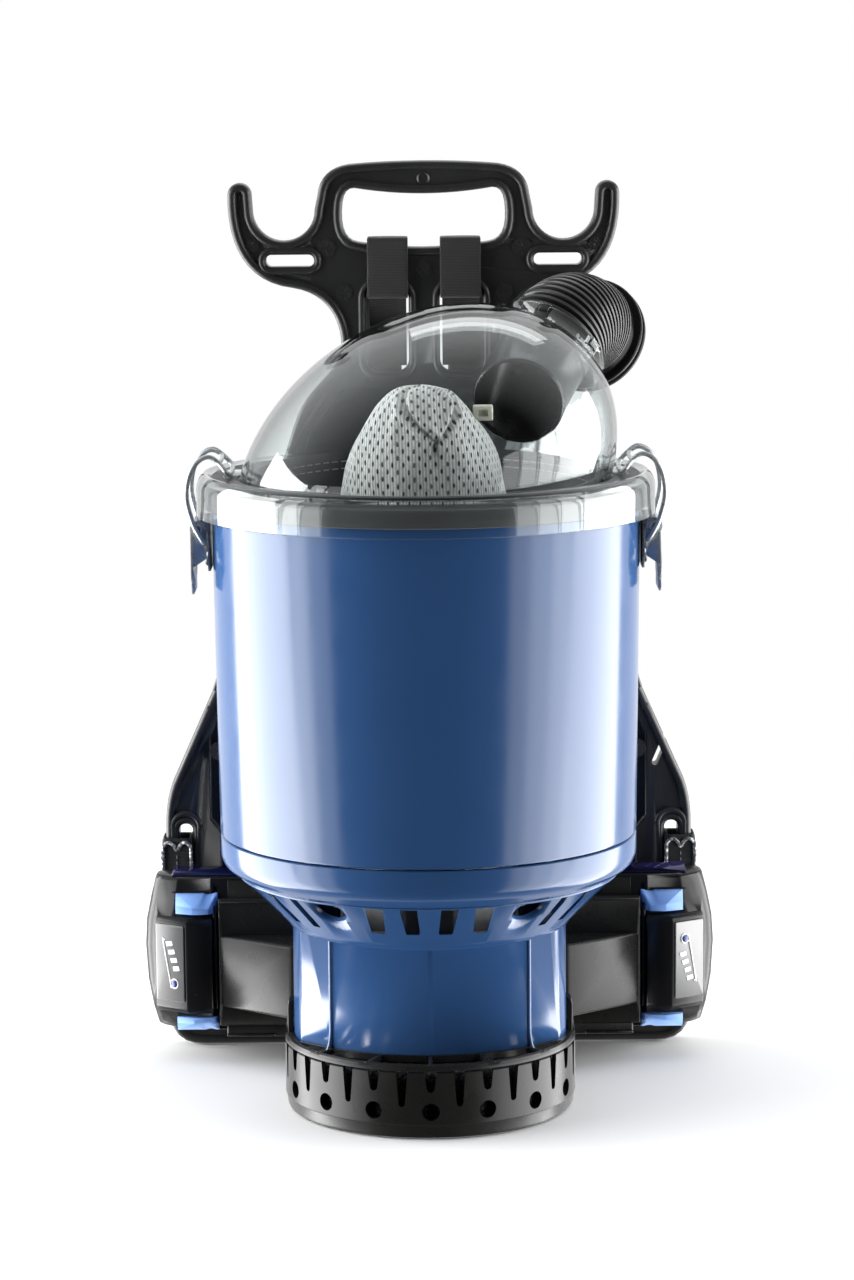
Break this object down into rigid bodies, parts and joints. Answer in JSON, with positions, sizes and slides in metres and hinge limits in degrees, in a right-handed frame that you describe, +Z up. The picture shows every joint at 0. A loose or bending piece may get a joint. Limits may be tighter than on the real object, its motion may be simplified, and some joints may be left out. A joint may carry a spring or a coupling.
{
  "type": "backpack vacuum cleaner",
  "caption": "Battery backpack vacuum cleaner: blue canister, clear domed lid with swivel hose cuff, cone filter, vented exhaust base and a moulded harness frame.",
  "frame": {"origin": "on the floor under the canister axis, at the centre of the exhaust cover's underside", "axes": "+Z up along the canister axis, +Y towards the wearer's back, +X to the right of someone facing the canister"},
  "size_m": [0.368, 0.3292, 0.577],
  "materials": {
    "frame_black": "satin",
    "canister_blue": "gloss",
    "black_plastic": "satin",
    "seal_rubber": "matte",
    "motor_metal": "satin",
    "circuit_board": "satin",
    "filter_foam": "matte",
    "filter_cloth": "matte",
    "dark_cloth": "matte",
    "clear_plastic": "gloss",
    "off_white_plastic": "satin",
    "cuff_rubber": "satin",
    "zinc_steel": "satin",
    "gauge_grey": "gloss",
    "label_blue": "gloss",
    "contact_brass": "satin",
    "webbing": "matte",
    "pad_foam": "matte",
    "button_blue": "satin"
  },
  "bodies": {
    "base": {"harness_frame": "frame_black", "canister_shell": "canister_blue", "canister_saddle": "black_plastic", "motor_housing": "canister_blue", "motor_plate": "black_plastic", "motor_seal": "seal_rubber", "motor_body": "motor_metal", "control_board": "circuit_board", "cone_filter": "filter_cloth", "filter_collar": "dark_cloth", "filter_ring": "black_plastic", "battery_carrier": "black_plastic", "back_pad": "pad_foam", "housing_screw_right": "zinc_steel", "housing_screw_left": "zinc_steel", "latch_bracket_right": "zinc_steel", "latch_bracket_left": "zinc_steel", "latch_pin_right": "zinc_steel", "latch_pin_left": "zinc_steel", "battery_contacts_right": "contact_brass", "battery_contacts_left": "contact_brass", "shoulder_band_right": "webbing", "shoulder_band_left": "webbing", "belt_band_right": "webbing", "belt_band_left": "webbing", "shoulder_strap_right": "pad_foam", "shoulder_strap_left": "pad_foam", "hip_pad_right": "pad_foam", "hip_pad_left": "pad_foam"},
    "fan": {"motor_fan": "black_plastic"},
    "exhaust": {"filter_cover": "black_plastic", "exhaust_foam": "filter_foam", "exhaust_grille": "black_plastic"},
    "lid": {"lid_dome": "clear_plastic", "lid_seal": "seal_rubber", "inlet_elbow": "black_plastic", "elbow_clip": "off_white_plastic"},
    "cuff": {"swivel_cuff": "cuff_rubber", "cuff_sleeve": "black_plastic"},
    "lever_right": {"latch_lever_right": "zinc_steel"},
    "bail_right": {"latch_bail_right": "zinc_steel"},
    "battery_right": {"battery_case_right": "black_plastic", "battery_gauge_right": "gauge_grey", "battery_label_right": "label_blue"},
    "button_right_top": {"battery_button_right_top": "button_blue"},
    "button_right_bottom": {"battery_button_right_bottom": "button_blue"},
    "lever_left": {"latch_lever_left": "zinc_steel"},
    "bail_left": {"latch_bail_left": "zinc_steel"},
    "battery_left": {"battery_case_left": "black_plastic", "battery_gauge_left": "gauge_grey", "battery_label_left": "label_blue"},
    "button_left_top": {"battery_button_left_top": "button_blue"},
    "button_left_bottom": {"battery_button_left_bottom": "button_blue"}
  },
  "joints": [
    {"name": "fan_spin", "type": "hinge", "parent": "base", "child": "fan", "pos_m": [0, 0, 0.16], "axis": [0, 0, 1], "continuous": true},
    {"name": "exhaust_slide", "type": "slide", "parent": "base", "child": "exhaust", "axis": [0, 0, -1], "range_m": [0, 0.06]},
    {"name": "lid_lift", "type": "slide", "parent": "base", "child": "lid", "axis": [0, 0, 1], "range_m": [0, 0.48]},
    {"name": "cuff_swivel", "type": "hinge", "parent": "lid", "child": "cuff", "pos_m": [0.076, 0.068, 0.461], "axis": [0.5002, 0.5602, 0.6603], "range_deg": [-40, 40]},
    {"name": "lever_right_hinge", "type": "hinge", "parent": "base", "child": "lever_right", "pos_m": [0.1374, 0, 0.3615], "axis": [0, 1, 0], "range_deg": [-50, 0]},
    {"name": "bail_right_hinge", "type": "hinge", "parent": "lever_right", "child": "bail_right", "pos_m": [0.1341, 0, 0.3535], "axis": [0, 1, 0], "range_deg": [0, 150]},
    {"name": "battery_right_slide", "type": "slide", "parent": "base", "child": "battery_right", "axis": [1, 0, 0], "range_m": [0, 0.115]},
    {"name": "button_right_top_press", "type": "slide", "parent": "battery_right", "child": "button_right_top", "axis": [0, 0, -1], "range_m": [0, 0.0025], "stiffness_N_per_m": 800},
    {"name": "button_right_bottom_press", "type": "slide", "parent": "battery_right", "child": "button_right_bottom", "axis": [0, 0, 1], "range_m": [0, 0.0025], "stiffness_N_per_m": 800},
    {"name": "lever_left_hinge", "type": "hinge", "parent": "base", "child": "lever_left", "pos_m": [-0.1374, 0, 0.3615], "axis": [0, 1, 0], "range_deg": [0, 50]},
    {"name": "bail_left_hinge", "type": "hinge", "parent": "lever_left", "child": "bail_left", "pos_m": [-0.1341, 0, 0.3535], "axis": [0, 1, 0], "range_deg": [-150, 0]},
    {"name": "battery_left_slide", "type": "slide", "parent": "base", "child": "battery_left", "axis": [-1, 0, 0], "range_m": [0, 0.115]},
    {"name": "button_left_top_press", "type": "slide", "parent": "battery_left", "child": "button_left_top", "axis": [0, 0, -1], "range_m": [0, 0.0025], "stiffness_N_per_m": 800},
    {"name": "button_left_bottom_press", "type": "slide", "parent": "battery_left", "child": "button_left_bottom", "axis": [0, 0, 1], "range_m": [0, 0.0025], "stiffness_N_per_m": 800}
  ],
  "couplings": [
    {"joint": "lever_right_hinge", "follows": "lid_lift", "rad_per_m": -1.8179},
    {"joint": "bail_right_hinge", "follows": "lid_lift", "rad_per_m": 5.4536},
    {"joint": "lever_left_hinge", "follows": "lid_lift", "rad_per_m": 1.8179},
    {"joint": "bail_left_hinge", "follows": "lid_lift", "rad_per_m": -5.4536}
  ]
}
